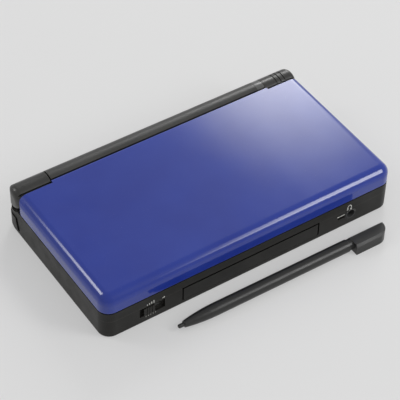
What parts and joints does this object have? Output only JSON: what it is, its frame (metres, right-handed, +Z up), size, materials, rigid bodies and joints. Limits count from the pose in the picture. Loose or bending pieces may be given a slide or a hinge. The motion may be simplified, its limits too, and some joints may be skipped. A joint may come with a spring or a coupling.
{
  "type": "clamshell handheld game console",
  "caption": "Closed clamshell handheld game console with a hinged lid, keys, slots and sockets, and its stylus lying in front.",
  "frame": {"origin": "centre of the console's footprint, on the underside that rests on the table", "axes": "+X left to right along the front edge, +Y from the front edge to the hinge, +Z up"},
  "size_m": [0.1338, 0.0896, 0.0215],
  "materials": {
    "lid_blue": "painted, clear coated",
    "lid_black": "fine texture",
    "clear_lens": "clear over a dark border",
    "display": "display glass",
    "white_plastic": "moulded",
    "speaker_grey": "satin",
    "rubber_black": "matte",
    "screw_steel": "plated",
    "sleeve_grey": "moulded",
    "case_charcoal": "fine texture",
    "cartridge_steel": "ground",
    "light_window": "translucent",
    "led": "clear",
    "tin_plate": "tinned",
    "ribbon": "polyimide film",
    "touch_film": "clear film",
    "silicone": "matte",
    "chip_black": "moulded",
    "socket_black": "moulded",
    "board_green": "solder mask",
    "battery_wrap": "wrapped cell",
    "key_black": "moulded",
    "stylus_charcoal": "satin"
  },
  "bodies": {
    "lid": {"lid_outer_shell": "lid_blue", "lid_inner_case": "lid_black", "upper_screen_lens": "clear_lens", "upper_display": "display", "upper_display_holder": "white_plastic", "left_speaker": "speaker_grey", "right_speaker": "speaker_grey", "lid_bumpers": "rubber_black", "lid_screws": "screw_steel", "hinge_sleeve": "sleeve_grey"},
    "base": {"base_lower_case": "case_charcoal", "base_upper_case": "case_charcoal", "hinge_cartridge": "cartridge_steel", "hinge_light_window": "light_window", "status_lights": "led", "microphone": "tin_plate", "display_ribbon_cable": "ribbon", "touch_panel": "touch_film", "lower_display": "display", "lower_display_holder": "white_plastic", "pad_membrane": "silicone", "key_membrane": "silicone", "volume_control": "white_plastic", "power_switch_body": "white_plastic", "shoulder_pins": "screw_steel", "shoulder_springs": "screw_steel", "shoulder_contacts": "chip_black", "cartridge_shield": "tin_plate", "cartridge_connector": "chip_black", "card_socket": "chip_black", "headphone_socket": "socket_black", "power_socket": "socket_black", "strap_bar": "screw_steel", "main_board": "board_green", "board_chips": "chip_black", "wireless_module": "tin_plate", "battery": "battery_wrap", "battery_cover": "case_charcoal", "battery_screw": "screw_steel", "case_screws": "screw_steel", "rubber_feet": "rubber_black"},
    "pad_pivot": {"pad_pivot": "key_black"},
    "direction_pad": {"direction_pad": "key_black"},
    "key_right": {"key_right": "key_black"},
    "key_bottom": {"key_bottom": "key_black"},
    "key_top": {"key_top": "key_black"},
    "key_left": {"key_left": "key_black"},
    "start_button": {"start_button": "key_black"},
    "select_button": {"select_button": "key_black"},
    "volume_slider": {"volume_slider": "case_charcoal"},
    "power_switch": {"power_switch": "case_charcoal"},
    "left_shoulder_button": {"left_shoulder_button": "case_charcoal"},
    "right_shoulder_button": {"right_shoulder_button": "case_charcoal"},
    "cartridge_cover": {"cartridge_cover": "case_charcoal"},
    "stylus": {"stylus": "stylus_charcoal"}
  },
  "joints": [
    {"name": "lid_hinge", "type": "hinge", "parent": "base", "child": "lid", "pos_m": [0, 0.03175, 0.0163], "axis": [-1, 0, 0], "range_deg": [0, 160]},
    {"name": "key_right_press", "type": "slide", "parent": "base", "child": "key_right", "axis": [0, 0, -1], "range_m": [0, 0.0006], "stiffness_N_per_m": 1200, "springref_m": -0.0003},
    {"name": "key_bottom_press", "type": "slide", "parent": "base", "child": "key_bottom", "axis": [0, 0, -1], "range_m": [0, 0.0006], "stiffness_N_per_m": 1200, "springref_m": -0.0003},
    {"name": "key_top_press", "type": "slide", "parent": "base", "child": "key_top", "axis": [0, 0, -1], "range_m": [0, 0.0006], "stiffness_N_per_m": 1200, "springref_m": -0.0003},
    {"name": "key_left_press", "type": "slide", "parent": "base", "child": "key_left", "axis": [0, 0, -1], "range_m": [0, 0.0006], "stiffness_N_per_m": 1200, "springref_m": -0.0003},
    {"name": "start_button_press", "type": "slide", "parent": "base", "child": "start_button", "axis": [0, 0, -1], "range_m": [0, 0.0006], "stiffness_N_per_m": 1200, "springref_m": -0.0003},
    {"name": "select_button_press", "type": "slide", "parent": "base", "child": "select_button", "axis": [0, 0, -1], "range_m": [0, 0.0006], "stiffness_N_per_m": 1200, "springref_m": -0.0003},
    {"name": "pad_rock_front_back", "type": "hinge", "parent": "base", "child": "pad_pivot", "pos_m": [-0.05, 0.002, 0.0099], "axis": [1, 0, 0], "range_deg": [-2, 2], "stiffness_Nm_per_rad": 0.08},
    {"name": "pad_rock_left_right", "type": "hinge", "parent": "pad_pivot", "child": "direction_pad", "pos_m": [-0.05, 0.002, 0.0099], "axis": [0, 1, 0], "range_deg": [-2, 2], "stiffness_Nm_per_rad": 0.08},
    {"name": "volume_slide", "type": "slide", "parent": "base", "child": "volume_slider", "axis": [1, 0, 0], "range_m": [-0.0016, 0.0042]},
    {"name": "power_switch_slide", "type": "slide", "parent": "base", "child": "power_switch", "axis": [0, 1, 0], "range_m": [0, 0.0025], "stiffness_N_per_m": 400, "springref_m": -0.001},
    {"name": "left_shoulder_press", "type": "hinge", "parent": "base", "child": "left_shoulder_button", "pos_m": [-0.0485, 0.03395, 0.0055], "axis": [0, 0, 1], "range_deg": [0, 2.2], "stiffness_Nm_per_rad": 1, "springref_deg": -0.57},
    {"name": "right_shoulder_press", "type": "hinge", "parent": "base", "child": "right_shoulder_button", "pos_m": [0.0485, 0.03395, 0.0055], "axis": [0, 0, -1], "range_deg": [0, 2.2], "stiffness_Nm_per_rad": 1, "springref_deg": -0.57},
    {"name": "cartridge_cover_slide", "type": "slide", "parent": "base", "child": "cartridge_cover", "axis": [0, -1, 0], "range_m": [0, 0.007]},
    {"name": "stylus_lift", "type": "slide", "parent": "base", "child": "stylus", "axis": [0, 0, 1], "range_m": [0, 0.03]}
  ]
}
